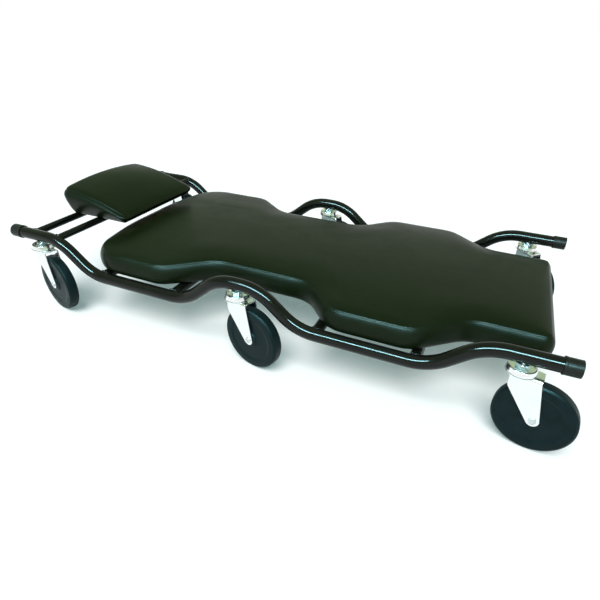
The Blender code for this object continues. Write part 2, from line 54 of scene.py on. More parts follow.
def rounded(corners, radii, step=None):
    """Path through corners. Each inner corner becomes an arc of its radius that touches both sides.
    With a step, the path is divided again into equal lengths of about that step."""
    corners = np.asarray(corners, float)
    runs = [corners[:1]]
    for before, corner, after, radius in zip(corners, corners[1:], corners[2:], radii):
        into = (corner - before) / np.linalg.norm(corner - before)
        out = (after - corner) / np.linalg.norm(after - corner)
        turn = math.acos(float(np.clip(into @ out, -1, 1)))
        side = out - into * (into @ out)
        side = side / np.linalg.norm(side)
        a = np.linspace(0, turn, 25 if step else 7)[:, None]
        start = corner - into * radius * math.tan(turn / 2)
        runs.append(start + into * radius * np.sin(a) + side * radius * (1 - np.cos(a)))
    runs.append(corners[-1:])
    path = np.concatenate(runs)
    if not step:
        return path
    length = np.concatenate([[0], np.cumsum(np.linalg.norm(np.diff(path, axis=0), axis=1))])
    even = np.linspace(0, length[-1], int(length[-1] / step) + 1)
    return np.stack([np.interp(even, length, path[:, k]) for k in range(path.shape[1])], 1)


def tube(path, y, radius, sides=40):
    """Round section along a path of (x, z) in the plane y: path + radius (cos a across + sin a Y),
    where across is square to the path in that plane."""
    along = np.gradient(path, axis=0)
    along = along / np.linalg.norm(along, axis=1, keepdims=True)
    a = np.linspace(0, 2 * np.pi, sides, endpoint=False)
    grid = np.empty((len(path), sides, 3))
    grid[..., 0] = path[:, :1] - along[:, 1:] * radius * np.cos(a)
    grid[..., 1] = y + radius * np.sin(a)
    grid[..., 2] = path[:, 1:] + along[:, :1] * radius * np.cos(a)
    return grid


def patch(grid, around=False, along=False, ends=()):
    """Quads over a grid of points [i, j]. around joins the last j to the first, along the last i to the
    first, and ends closes row 0 or row -1 with a fan to its middle. A closed patch is turned to face
    outwards."""
    rows, cols = grid.shape[:2]
    points = grid.reshape(-1, 3)
    index = np.arange(rows * cols).reshape(rows, cols)
    if around:
        index = np.concatenate([index, index[:, :1]], 1)
    if along:
        index = np.concatenate([index, index[:1]], 0)
    quads = np.stack([index[:-1, :-1], index[:-1, 1:], index[1:, 1:], index[1:, :-1]], -1).reshape(-1, 4)
    fans = [np.zeros((0, 3), int)]
    for row, turn in ((0, 1), (-1, -1)):
        if row in ends:
            loop = index[row]
            hub = np.full(len(loop) - 1, len(points))
            points = np.vstack([points, points[loop[:-1]].mean(0)])
            fans.append(np.stack([loop[1:], loop[:-1], hub], -1)[:, ::turn])
    fans = np.concatenate(fans)
    corners = np.concatenate([quads[:, [0, 1, 2]], quads[:, [0, 2, 3]], fans])
    p, q, r = (points[corners[:, k]] - points.mean(0) for k in range(3))
    if np.einsum("ij,ij->", p, np.cross(q, r)) < 0:
        quads, fans = quads[:, ::-1], fans[:, ::-1]
    return points, quads, fans


def piece(name, patches, finish, body, nodes, crease=38):
    """One object made of patches, where the solids are, on its body and in place of its nodes."""
    starts = np.cumsum([0] + [len(points) for points, _, _ in patches])
    points = np.concatenate([p for p, _, _ in patches])
    faces = [f for (_, q, t), s in zip(patches, starts) for f in (q + s).tolist() + (t + s).tolist()]
    mesh = bpy.data.meshes.new(name)
    mesh.from_pydata(points.tolist(), [], faces)
    mesh.shade_smooth()
    mesh.set_sharp_from_angle(angle=math.radians(crease))
    mesh.materials.append(finish)
    made = bpy.data.objects.new(name, mesh)
    bpy.context.scene.collection.objects.link(made)
    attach(made, body)
    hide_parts(*nodes)
    return made


def node(tree, kind, values=None, **settings):
    """One shader node. settings are its own properties, values its sockets: constants or other nodes'
    outputs."""
    made = tree.nodes.new(kind)
    for key, value in settings.items():
        setattr(made, key, value)
    for key, value in (values or {}).items():
        if isinstance(value, bpy.types.NodeSocket):
            tree.links.new(value, made.inputs[key])
        else:
            made.inputs[key].default_value = value
    return made


def mixed(tree, share, first, second):
    """Colour between two, by a share from 0 to 1."""
    return node(tree, "ShaderNodeMix", {0: share, 6: first, 7: second}, data_type="RGBA").outputs[2]


def ranged(tree, value, low, high, start=0.0, end=1.0):
    """A value that goes from start to end, stretched to go from low to high."""
    sockets = {"Value": value, "From Min": start, "From Max": end, "To Min": low, "To Max": high}
    return node(tree, "ShaderNodeMapRange", sockets).outputs["Result"]


def worked(tree, operation, first, second):
    """Sum, product or other working of two values."""
    return node(tree, "ShaderNodeMath", {0: first, 1: second}, operation=operation).outputs[0]


def effect(name, inputs, outputs):
    """An empty node group with named sockets: its tree, and the sockets to read and to fill."""
    tree = bpy.data.node_groups.new(name, "ShaderNodeTree")
    for socket, kind, value in inputs:
        made = tree.interface.new_socket(socket, in_out="INPUT", socket_type=kind)
        if value is not None:
            made.default_value = value
    for socket in outputs:
        tree.interface.new_socket(socket, in_out="OUTPUT", socket_type="NodeSocketFloat")
    return tree, tree.nodes.new("NodeGroupInput").outputs, tree.nodes.new("NodeGroupOutput").inputs


def coated(name, constants):
    """A material with one Principled shader, its constants set on its own sockets, and its coordinates."""
    made = bpy.data.materials.new(name)
    made.use_nodes = True
    tree = made.node_tree
    shader = tree.nodes["Principled BSDF"]
    for key, value in constants.items():
        shader.inputs[key].default_value = value
    spot = tree.nodes.new("ShaderNodeTexCoord").outputs
    return made, tree, shader.inputs, spot


def speckled(tree, place, scale, detail):
    """Noise of one scale and detail at a place."""
    return node(tree, "ShaderNodeTexNoise", {"Vector": place, "Scale": scale, "Detail": detail}).outputs[0]


def bumped(tree, shader, height, strength, distance):
    """A height that tips the shader's normal."""
    bump = node(tree, "ShaderNodeBump", {"Strength": strength, "Distance": distance, "Height": height})
    tree.links.new(bump.outputs[0], shader["Normal"])


# Handling marks: broad smudges where hands and rags have been, and thin hair scratches.
handling, got, put = effect("handling_marks", [
    ("Vector", "NodeSocketVector", None), ("Smudge Scale", "NodeSocketFloat", 14.0),
    ("Scratch Scale", "NodeSocketFloat", 160.0)], ["Smudge", "Scratch"])
blots = node(handling, "ShaderNodeTexNoise", {"Vector": got["Vector"], "Scale": got["Smudge Scale"],
                                              "Detail": 5.0, "Roughness": 0.62, "Distortion": 0.6}).outputs[0]
handling.links.new(ranged(handling, blots, 0, 1, 0.36, 0.68), put["Smudge"])
drawn = node(handling, "ShaderNodeMapping", {"Vector": got["Vector"], "Rotation": (0.5, 0.3, 0.6),
                                             "Scale": (0.05, 1.0, 1.0)}).outputs[0]
hairs = ranged(handling, speckled(handling, drawn, got["Scratch Scale"], 2.0), 0, 1, 0.66, 0.72)
broken = ranged(handling, blots, 0, 1, 0.45, 0.6)
handling.links.new(worked(handling, "MULTIPLY", hairs, broken), put["Scratch"])

# Settled dust: a thin film on faces that look up, broken by noise.
dust, got, put = effect("settled_dust", [
    ("Vector", "NodeSocketVector", None), ("Normal", "NodeSocketVector", None),
    ("Amount", "NodeSocketFloat", 0.2)], ["Dust"])
facing = node(dust, "ShaderNodeSeparateXYZ", {0: got["Normal"]}).outputs["Z"]
flecks = node(dust, "ShaderNodeTexNoise", {"Vector": got["Vector"], "Scale": 55.0, "Detail": 6.0,
                                           "Roughness": 0.7}).outputs[0]
film = worked(dust, "MULTIPLY", ranged(dust, facing, 0, 1, 0.2, 1.0), ranged(dust, flecks, 0, 1, 0.3, 0.8))
dust.links.new(worked(dust, "MULTIPLY", film, got["Amount"]), put["Dust"])


def handled(tree, spot, smudge_scale, scratch_scale):
    """Smudges and scratches of the handling marks on a piece."""
    sockets = {"Vector": spot["Object"], "Smudge Scale": smudge_scale, "Scratch Scale": scratch_scale}
    return node(tree, "ShaderNodeGroup", sockets, node_tree=handling).outputs


def dusted(tree, spot, amount):
    """Share of settled dust on a piece."""
    sockets = {"Vector": spot["Object"], "Normal": spot["Normal"], "Amount": amount}
    return node(tree, "ShaderNodeGroup", sockets, node_tree=dust).outputs["Dust"]


enamel, tree, shader, spot = coated("gloss_black_enamel", {"Specular IOR Level": 0.24})
marks, film = handled(tree, spot, 18.0, 220.0), dusted(tree, spot, 0.02)
black = mixed(tree, marks["Smudge"], (0.0022, 0.0034, 0.0022, 1), (0.0042, 0.0062, 0.0040, 1))
tree.links.new(mixed(tree, film, black, (0.32, 0.30, 0.27, 1)), shader["Base Color"])
hairlines = worked(tree, "MULTIPLY", marks["Scratch"], 0.12)
tree.links.new(worked(tree, "ADD", ranged(tree, marks["Smudge"], 0.12, 0.19), hairlines), shader["Roughness"])
bumped(tree, shader, speckled(tree, spot["Object"], 260.0, 1.5), 0.05, 0.0006)

rail_corners = [(-RAIL_END_X, ARCH_Z)]
for place, (high, low) in zip(SLOPE_X, ((ARCH_Z, DIP_Z), (DIP_Z, ARCH_Z)) * 2):
    rail_corners += [(place - SLOPE_RUN / 2, high), (place + SLOPE_RUN / 2, low)]
rail_corners.append((RAIL_END_X, ARCH_Z))
rail_line = rounded(rail_corners, [BEND_R] * 8, RAIL_STEP)
for side, y in (("right", -RAIL_Y), ("left", RAIL_Y)):
    bent_tube = patch(tube(rail_line, y, RAIL_R), around=True, ends=(0, -1))
    piece(f"{side}_bent_rail", [bent_tube], enamel, "frame", [f"{side}_rail"])


# End caps. A satin black vinyl cap is slipped over each rail end, with a thick rounded end wall and a
# small bead round its mouth.
CAP_R, CAP_LENGTH, CAP_END_X, CAP_WALL, CAP_BEAD = 0.0142, 0.026, 0.582, 0.003, 0.0004
AXIS_GAP = 0.0004


def turned(profile, sides=64):
    """Profile of (radius, height) turned about Z: (r cos a, r sin a, h)."""
    profile = np.asarray(profile, float)
    a = np.linspace(0, 2 * np.pi, sides, endpoint=False)
    grid = np.empty((len(profile), sides, 3))
    grid[..., 0] = profile[:, :1] * np.cos(a)
    grid[..., 1] = profile[:, :1] * np.sin(a)
    grid[..., 2] = profile[:, 1:]
    return grid


cap_vinyl, tree, shader, spot = coated("satin_cap_vinyl", {"Specular IOR Level": 0.18})
marks, film = handled(tree, spot, 60.0, 300.0), dusted(tree, spot, 0.02)
black = mixed(tree, marks["Smudge"], (0.0060, 0.0080, 0.0060, 1), (0.0110, 0.0140, 0.0105, 1))
tree.links.new(mixed(tree, film, black, (0.3, 0.29, 0.27, 1)), shader["Base Color"])
tree.links.new(ranged(tree, marks["Smudge"], 0.34, 0.5), shader["Roughness"])
bumped(tree, shader, speckled(tree, spot["Object"], 900.0, 2.0), 0.12, 0.0003)

bore, mouth = RAIL_R + 0.0001, CAP_R + CAP_BEAD
cap_shape = rounded([(bore, CAP_WALL), (bore, CAP_LENGTH), (mouth, CAP_LENGTH), (mouth, CAP_LENGTH - 0.003),
                     (CAP_R, CAP_LENGTH - 0.0042), (CAP_R, 0.0), (AXIS_GAP, 0.0)],
                    [0.0, 0.0004, 0.0009, 0.0008, 0.0008])
cap_skin = turned(cap_shape, 72)
for end, sign in (("head", -1), ("foot", 1)):
    for side, y in (("right", -RAIL_Y), ("left", RAIL_Y)):
        name = f"{end}_{side}_cap"
        lying = np.stack([sign * (CAP_END_X - cap_skin[..., 2]), y + cap_skin[..., 0],
                          ARCH_Z + cap_skin[..., 1]], -1)
        skin = patch(lying, around=True, ends=(0, -1))
        piece(f"{name}_sleeve", [skin], cap_vinyl, "frame", [name])


# Cross tubes and headrest bars. Straight steel tubes, coped to sit against the rails and welded all round,
# then sprayed with the rails. The four under the pad are thicker than the two under the headrest.
TUBE_R, BAR_R, BEAD_R = 0.0111, 0.008, 0.0021
END_X, WAIST_X, HEAD_BAR_X, BODY_BAR_X = 0.3437, 0.1603, -0.529, -0.460
BARS = {"shoulder_head_tube": (-END_X, DIP_Z, TUBE_R), "shoulder_waist_tube": (-WAIST_X, DIP_Z, TUBE_R),
        "hip_waist_tube": (WAIST_X, DIP_Z, TUBE_R), "hip_foot_tube": (END_X, DIP_Z, TUBE_R),
        "headrest_head_bar": (HEAD_BAR_X, ARCH_Z, BAR_R), "headrest_body_bar": (BODY_BAR_X, ARCH_Z, BAR_R)}


def coped_bar(x, z, radius, sides=48, steps=60):
    """Straight bar along Y: its wall is (x + r cos a, y, z + r sin a), and each end stops on the rail,
    at RAIL_Y less the half chord of the rail at that place on the wall."""
    a = np.linspace(0, 2 * np.pi, sides, endpoint=False)
    wall_x, wall_z = x + radius * np.cos(a), z + radius * np.sin(a)
    rail_z = np.interp(wall_x, rail_line[:, 0], rail_line[:, 1])
    reach = RAIL_Y - np.sqrt(np.maximum(RAIL_R**2 - (wall_z - rail_z) ** 2, 1e-8))
    share = np.linspace(-1, 1, steps)[:, None]
    grid = np.stack(np.broadcast_arrays(wall_x, share * reach, wall_z), -1)
    return grid, np.stack([wall_x, reach, wall_z], -1), a


def weld_bead(seam, a, sides=10):
    """Bead round a closed seam: seam + r (cos b outward + sin b across), with r rippled 26 times round the
    seam as the torch was moved on, and swelling slowly 7 times."""
    ahead = np.roll(seam, -1, 0) - np.roll(seam, 1, 0)
    ahead = ahead / np.linalg.norm(ahead, axis=1, keepdims=True)
    outward = np.stack([np.cos(a), np.zeros_like(a), np.sin(a)], -1)
    outward = outward - ahead * np.sum(outward * ahead, 1, keepdims=True)
    outward = outward / np.linalg.norm(outward, axis=1, keepdims=True)
    across = np.cross(ahead, outward)
    b = np.linspace(0, 2 * np.pi, sides, endpoint=False)
    size = BEAD_R * (1 + 0.13 * np.cos(26 * a) + 0.08 * np.sin(7 * a + 1.0))[:, None, None]
    ring = np.cos(b)[:, None] * outward[:, None] + np.sin(b)[:, None] * across[:, None]
    return seam[:, None] + size * ring


for name, (x, z, radius) in BARS.items():
    wall, _, _ = coped_bar(x, z, radius)
    _, seam, a = coped_bar(x, z, radius, sides=144)
    beads = [patch(weld_bead(seam * (1, hand, 1), a), around=True, along=True) for hand in (-1, 1)]
    bar = patch(wall, around=True, ends=(0, -1))
    piece(f"{name}_welded", [bar, *beads], enamel, "frame", [name])


# Boards. Each pad is built on a sheet of bare plywood, which shows underneath inside the folded vinyl.
# The cross tubes and bars are bolted to them.
plywood, tree, shader, spot = coated("bare_plywood", {"Specular IOR Level": 0.3})
lie = node(tree, "ShaderNodeMapping", {"Vector": spot["Object"], "Scale": (1.4, 22.0, 1.4)}).outputs[0]
flow = node(tree, "ShaderNodeTexNoise", {"Vector": lie, "Scale": 3.0, "Detail": 6.0, "Roughness": 0.65,
                                         "Distortion": 0.8}).outputs[0]
fine = node(tree, "ShaderNodeMapping", {"Vector": spot["Object"], "Scale": (8.0, 260.0, 8.0)}).outputs[0]
fibre = speckled(tree, fine, 4.0, 3.0)
figure = ranged(tree, flow, 0, 1, 0.32, 0.7)
wood = mixed(tree, figure, (0.33, 0.20, 0.095, 1), (0.52, 0.36, 0.20, 1))
wood = mixed(tree, ranged(tree, fibre, 0, 0.5, 0.52, 0.75), wood, (0.22, 0.125, 0.06, 1))
grime = worked(tree, "MULTIPLY", handled(tree, spot, 9.0, 120.0)["Smudge"], 0.22)
tree.links.new(mixed(tree, grime, wood, (0.2, 0.15, 0.1, 1)), shader["Base Color"])
tree.links.new(ranged(tree, figure, 0.62, 0.82), shader["Roughness"])
bumped(tree, shader, fibre, 0.25, 0.0004)
for name in ("main_board", "headrest_board"):
    frame["nodes"][name].data.materials.clear()
    frame["nodes"][name].data.materials.append(plywood)


# Main pad. Firm foam under fine-grained black vinyl, stitched round its top, pulled over the board and folded
# under its edge. It is wide at the shoulders and hips, and cut away at the waist and shanks so that the
# casters can swing.
BOARD_Z, PAD_Z, PAD_HEIGHT, PAD_CROWN, PAD_ROUND = 0.1127, 0.1130, 0.047, 0.004, 0.024
PAD_WIDE, PAD_NARROW, PAD_HEAD_X, PAD_FOOT_X = 0.2445, 0.1695, -0.408, 0.5575
PAD_CORNERS = [(PAD_HEAD_X, 0.0), (PAD_HEAD_X, 0.085), (-0.378, PAD_WIDE), (-0.188, PAD_WIDE),
               (-0.098, PAD_NARROW), (0.112, PAD_NARROW), (0.178, PAD_WIDE), (0.334, PAD_WIDE),
               (0.420, PAD_NARROW), (PAD_FOOT_X, PAD_NARROW), (PAD_FOOT_X, 0.0)]
PAD_RADII = [0.5, 0.085] + [0.065] * 6 + [0.021]
PAD_STEP, PAD_RUNS, PAD_WALK = 0.0015, (150, 56), (0.215, 1.215)
PAD_BASE, PAD_RIM, PAD_HELD = 0.42, 0.014, 22
PAD_GIVE, PAD_PRESSURE, PAD_FILL = (0.0035, 0.0018), 0.25, 0.8
SEAM_IN, SEAM_SHARE, SEAM_WIDE, SEAM_DIP = 0.0078, 0.90, 0.0008, 0.014
BAND_ARC = math.radians(45)
HEM_GAP, HEM_THICK = 0.00004, 0.00023
STUFF_FRAMES = 20


def outline_walk(half, start, stop, long_steps, short_steps):
    """Signed lengths along a half outline, once round the whole pad: minus is the right side. The four runs
    are right side, foot end, left side and head end, which meet in the middle of the corners."""
    whole = np.linalg.norm(np.diff(half, axis=0), axis=1).sum()
    u = np.linspace(0, 1, long_steps + 1)[:-1]
    v = np.linspace(-1, 1, short_steps + 1)[:-1]
    right = -(start + (stop - start) * u)
    foot = np.sign(v + 1e-9) * (whole - np.abs(v) * (whole - stop))
    left = stop + (start - stop) * u
    head = -np.sign(v + 1e-9) * np.abs(v) * start
    return np.concatenate([right, foot, left, head])


def inset_line(half, walk, inset):
    """Points at signed lengths along the outline, moved square to it towards the inside. Near a corner they
    move no further than 0.96 of its radius, and 0.3 of the way along the outline from it more."""
    length = np.concatenate([[0], np.cumsum(np.linalg.norm(np.diff(half, axis=0), axis=1))])
    ahead = np.gradient(half, axis=0)
    ahead = ahead / np.linalg.norm(ahead, axis=1, keepdims=True)
    turn = ahead[:-1, 1] * ahead[1:, 0] - ahead[:-1, 0] * ahead[1:, 1]
    radius = np.diff(length) / np.maximum(turn, 1e-6)
    room = (0.96 * radius[None] + 0.3 * np.abs(length[:, None] - length[None, :-1])).min(1)
    inner = half + np.stack([ahead[:, 1], -ahead[:, 0]], 1) * np.minimum(inset, room)[:, None]
    x = np.interp(np.abs(walk), length, inner[:, 0])
    y = np.interp(np.abs(walk), length, inner[:, 1])
    return np.stack([x, np.where(walk < 0, -y, y)], 1)


def spanned(loop, long_steps, short_steps):
    """Grid over the inside of a loop of four runs: the sum of the straight spans between opposite runs, less
    the straight span between the four corners."""
    a, b, c = long_steps, long_steps + short_steps, 2 * long_steps + short_steps
    right, foot = loop[: a + 1], loop[a : b + 1]
    left, head = loop[b : c + 1][::-1], np.concatenate([loop[c:], loop[:1]])[::-1]
    u = np.linspace(0, 1, long_steps + 1)[:, None, None]
    v = np.linspace(0, 1, short_steps + 1)[None, :, None]
    ends = (1 - u) * head[None] + u * foot[None]
    sides = (1 - v) * right[:, None] + v * left[:, None]
    corner = (1 - u) * ((1 - v) * right[0] + v * left[0]) + u * ((1 - v) * right[-1] + v * left[-1])
    return ends + sides - corner


def edge_distance(points, line):
    """Distance from each point of a grid to the nearest point of a line."""
    flat = points.reshape(-1, 2)
    apart = (flat**2).sum(1)[:, None] + (line**2).sum(1)[None] - 2 * flat @ line.T
    return np.sqrt(np.maximum(apart.min(1), 0)).reshape(points.shape[:2])


def shoulder_share(inset, depth, base):
    """Share of the pad's height over its edge. The side band is an arc from base, where it is upright, to the
    seam. The top panel goes on from there as edge + (1 - edge) (1 - (1 - t)^2)^0.6, with t the way in from
    the seam as a share of depth. A narrow bell-shaped dip is the stitched seam itself."""
    sunk = 1 - np.clip(inset / SEAM_IN, 0, 1) * (1 - math.cos(BAND_ARC))
    band = base + (SEAM_SHARE - base) * np.sqrt(1 - sunk**2) / math.sin(BAND_ARC)
    way_in = np.clip((inset - SEAM_IN) / depth, 0, 1)
    panel = (1 - SEAM_SHARE) * (1 - (1 - way_in) ** 2) ** 0.6
    return band + panel - SEAM_DIP * np.exp(-(((inset - SEAM_IN) / SEAM_WIDE) ** 2))


def pad_points(half, walk, runs, under, depth, base, rim, lift):
    """Whole closed pad: the top spans the line at inset rim, and rings go from there over the shoulder, down
    the side and through the (inset, share) pairs of under, to a flat floor. lift(x, y, share) gives the
    points."""
    span = spanned(inset_line(half, walk, rim), *runs)
    away = edge_distance(span, inset_line(half, walk, 0.0))
    top = lift(span[..., 0], span[..., 1], shoulder_share(away, depth, base))
    near_seam = SEAM_WIDE * np.array([4.0, 2.4, 1.4, 0.7, 0.0, -0.7, -1.4, -2.4])
    over = np.concatenate([SEAM_IN + near_seam, 0.7 * SEAM_IN * np.linspace(1, 0, 9)[1:] ** 1.6])
    rings = []
    for inset, share in [*zip(over, shoulder_share(over, depth, base)), *under]:
        ring = inset_line(half, walk, inset)
        rings.append(lift(ring[:, 0], ring[:, 1], np.full(len(ring), share)))
    return top, np.stack(rings)


def pad_faces(runs, ring_count):
    """Quads of the pad in the order of its points: the top's grid, the rings, and strips across the floor."""
    long_steps, short_steps = runs
    grid = np.arange((long_steps + 1) * (short_steps + 1)).reshape(long_steps + 1, short_steps + 1)
    top = np.stack([grid[:-1, :-1], grid[1:, :-1], grid[1:, 1:], grid[:-1, 1:]], -1).reshape(-1, 4)
    rim = np.concatenate([grid[:-1, 0], grid[-1, :-1], grid[::-1, -1][:-1], grid[0, ::-1][:-1]])
    count = len(rim)
    rings = grid.size + np.arange(ring_count * count).reshape(ring_count, count)
    loops = np.concatenate([rim[None], rings])
    loops = np.concatenate([loops, loops[:, :1]], 1)
    sides = np.stack([loops[:-1, :-1], loops[1:, :-1], loops[1:, 1:], loops[:-1, 1:]], -1).reshape(-1, 4)
    last = rings[-1]
    right = last[: long_steps + 1]
    left = last[long_steps + short_steps : 2 * long_steps + short_steps + 1][::-1]
    floor = np.stack([right[:-1], left[:-1], left[1:], right[1:]], -1)
    foot = last[long_steps : long_steps + short_steps + 1]
    head = np.concatenate([last[2 * long_steps + short_steps :], last[:1]])
    return top.tolist() + sides.tolist() + floor.tolist() + [foot[::-1].tolist(), head[::-1].tolist()]


def stuffed(name, points, faces, held, cap, pressure):
    """Points after the foam has pushed the cover out: the cover is a cloth under pressure, held where it is
    fixed and stepped frame by frame, and no point may go further than its cap."""
    mesh = bpy.data.meshes.new(name)
    mesh.from_pydata(points.tolist(), [], faces)
    trial = bpy.data.objects.new(name, mesh)
    bpy.context.scene.collection.objects.link(trial)
    fixed = trial.vertex_groups.new(name="fixed")
    fixed.add(np.flatnonzero(held).tolist(), 1.0, "REPLACE")
    cloth = trial.modifiers.new("cover", "CLOTH")
    cloth.settings.vertex_group_mass = "fixed"
    cloth.settings.use_pressure = True
    cloth.settings.uniform_pressure_force = pressure
    cloth.settings.effector_weights.gravity = 0.0
    cloth.settings.tension_stiffness = 40.0
    cloth.settings.compression_stiffness = 40.0
    cloth.settings.bending_stiffness = 8.0
    cloth.point_cache.frame_end = STUFF_FRAMES
    for step in range(1, STUFF_FRAMES + 1):
        bpy.context.scene.frame_set(step)
    swollen = trial.evaluated_get(bpy.context.evaluated_depsgraph_get()).data
    after = np.empty(len(points) * 3, np.float32)
    swollen.vertices.foreach_get("co", after)
    move = after.reshape(-1, 3) - points
    bpy.data.objects.remove(trial, do_unlink=True)
    bpy.context.scene.frame_set(1)
    reach = np.maximum(np.linalg.norm(move, axis=1, keepdims=True), 1e-9)
    limit = cap[:, None]
    return points + move * (limit * np.tanh(reach / limit) / reach)


vinyl, tree, shader, spot = coated("grained_black_vinyl", {"Specular IOR Level": 0.12})
cells = node(tree, "ShaderNodeTexVoronoi", {"Vector": spot["Object"], "Scale": 620.0}, feature="SMOOTH_F1")
pits = cells.outputs["Distance"]
patches = ranged(tree, speckled(tree, spot["Object"], 7.0, 3.0), 0, 1, 0.35, 0.65)
marks, film = handled(tree, spot, 8.0, 90.0), dusted(tree, spot, 0.010)
black = mixed(tree, patches, (0.0030, 0.0082, 0.0010, 1), (0.0044, 0.0110, 0.0016, 1))
black = mixed(tree, ranged(tree, pits, 0, 0.5, 0.35, 0.7), black, (0.0018, 0.0042, 0.0008, 1))
tree.links.new(mixed(tree, film, black, (0.28, 0.27, 0.24, 1)), shader["Base Color"])
hairlines = worked(tree, "MULTIPLY", marks["Scratch"], 0.1)
tree.links.new(worked(tree, "ADD", ranged(tree, marks["Smudge"], 0.30, 0.42), hairlines), shader["Roughness"])
folds = worked(tree, "MULTIPLY", speckled(tree, spot["Object"], 1500.0, 2.0), 0.35)
bumped(tree, shader, worked(tree, "ADD", pits, folds), 0.14, 0.0005)


def upholstered(name, top, rings, runs, held_from, give, pressure, nodes):
    """A vinyl pad on the frame, stuffed and then smoothed by one subdivision. The rings from held_from on are
    held by the board, and give says how far the top and the rings may go."""
    points = np.concatenate([top.reshape(-1, 3), rings.reshape(-1, 3)])
    faces = pad_faces(runs, len(rings))
    counts = top[..., 0].size, rings[..., 0].size
    held = np.repeat(np.arange(len(rings)) >= held_from, rings.shape[1])
    held = np.concatenate([np.zeros(counts[0], bool), held])
    points = stuffed(f"{name}_trial", points, faces, held, np.repeat(give, counts), pressure)
    mesh = bpy.data.meshes.new(name)
    mesh.from_pydata(points.tolist(), [], faces)
    mesh.shade_smooth()
    mesh.materials.append(vinyl)
    made = bpy.data.objects.new(name, mesh)
    bpy.context.scene.collection.objects.link(made)
    smooth = made.modifiers.new("smooth", "SUBSURF")
    smooth.levels = smooth.render_levels = 1
    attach(made, "frame")
    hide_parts(*nodes)


def pad_lift(x, y, share):
    """Flat pad with a crown, which falls as a cosine towards the sides and as 1 - t^4 towards the ends, with
    t the way from the middle to the end. Below the seam it fades as the square of the share."""
    middle, reach = (PAD_HEAD_X + PAD_FOOT_X) / 2, (PAD_FOOT_X - PAD_HEAD_X) / 2
    across = np.cos(np.pi / 2 * np.clip(np.abs(y) / PAD_WIDE, 0, 1))
    crown = PAD_CROWN * across * (1 - np.abs((x - middle) / reach) ** 4)
    return np.stack([x, y, PAD_Z + PAD_HEIGHT * share + crown * np.clip(share, 0, 1) ** 2], -1)


pad_half = rounded(PAD_CORNERS, PAD_RADII, PAD_STEP)
pad_walk = outline_walk(pad_half, *PAD_WALK, *PAD_RUNS)
hem = (BOARD_Z - HEM_GAP - PAD_Z) / PAD_HEIGHT
hem_low = (BOARD_Z - HEM_GAP - HEM_THICK - PAD_Z) / PAD_HEIGHT
pad_under = [(0.0, 0.37), (0.0003, 0.28), (0.0010, 0.19), (0.0024, 0.11), (0.0044, 0.045), (0.0070, 0.008),
             (0.0105, 0.0), (0.0144, 0.0), (0.0148, hem_low), (0.0153, hem_low), (0.036, hem_low),
             (0.0362, hem), (0.0158, hem), (0.0157, 0.0), (0.0157, 0.195)]
pad_top, pad_rings = pad_points(pad_half, pad_walk, PAD_RUNS, pad_under, PAD_ROUND, PAD_BASE, PAD_RIM,
                                pad_lift)
upholstered("main_pad_cover", pad_top, pad_rings, PAD_RUNS, PAD_HELD, PAD_GIVE, PAD_PRESSURE,
            ["main_cushion"])


# Headrest. A foam wedge in the same vinyl, high at the head end and low towards the shoulders, stitched round
# its top and pulled tight over its own board.
REST_HEAD_X, REST_LENGTH, REST_HALF = -0.551, 0.190, 0.136
REST_BOARD_Z, REST_BOARD_THICK, REST_BOARD_GAP, REST_Z = 0.1766, 0.008, 0.0003, 0.1769
REST_PEAK, REST_TOE, REST_LEAN, REST_ROUND, REST_CROWN = 0.0725, 0.0215, 0.004, 0.016, 0.16
REST_RADII, REST_STEP, REST_RUNS, REST_WALK = [0.026, 0.018], 0.001, (40, 56), (0.1304, 0.3008)
REST_BASE, REST_RIM, REST_HELD = 0.70, 0.014, 23
REST_GIVE, REST_PRESSURE, REST_FILL = (0.004, 0.002), 0.4, 0.85


def rest_lift(x, y, share):
    """Wedge: height falls from peak to toe as 1 - along^2, less a share at the sides that grows as the square
    of y, and the head end leans out as it rises."""
    along = (x - REST_HEAD_X) / REST_LENGTH
    height = (REST_TOE + (REST_PEAK - REST_TOE) * (1 - along**2)) * (1 - REST_CROWN * (y / REST_HALF) ** 2)
    return np.stack([x - REST_LEAN * np.clip(share, 0, 1) * (1 - along), y, REST_Z + height * share], -1)


rest_toe_x = REST_HEAD_X + REST_LENGTH
rest_half = rounded([(REST_HEAD_X, 0.0), (REST_HEAD_X, REST_HALF), (rest_toe_x, REST_HALF),
                     (rest_toe_x, 0.0)], REST_RADII, REST_STEP)
rest_walk = outline_walk(rest_half, *REST_WALK, *REST_RUNS)
rest_under = [(0.0006, 0.61), (0.0020, 0.49), (0.0040, 0.37), (0.0064, 0.25), (0.0090, 0.14), (0.0114, 0.06),
              (0.0136, 0.010), (0.0155, 0.0), (0.0157, 0.0), (0.0157, 0.118)]
rest_top, rest_rings = pad_points(rest_half, rest_walk, REST_RUNS, rest_under, REST_ROUND, REST_BASE,
                                  REST_RIM, rest_lift)
rest_rings[-1, :, 2] = REST_BOARD_Z + REST_BOARD_THICK + REST_BOARD_GAP
upholstered("headrest_cover", rest_top, rest_rings, REST_RUNS, REST_HELD, REST_GIVE, REST_PRESSURE,
            ["headrest_cushion"])


# Bolts. Hex-headed bolts of zinc-plated steel with a washer face go up into the boards, two through each
# outer cross tube and two through each headrest bar.
BOLT_R, BOLT_FLATS, BOLT_HEAD_H, BOLT_REACH, BOLT_GAP = 0.003, 0.010, 0.004, 0.0225, 0.0003
BOLT_SPOTS = {"shoulder": (-END_X, 0.120, DIP_Z - TUBE_R), "hip": (END_X, 0.120, DIP_Z - TUBE_R),
              "headrest_head": (HEAD_BAR_X, 0.060, ARCH_Z - BAR_R),
              "headrest_body": (BODY_BAR_X, 0.060, ARCH_Z - BAR_R)}


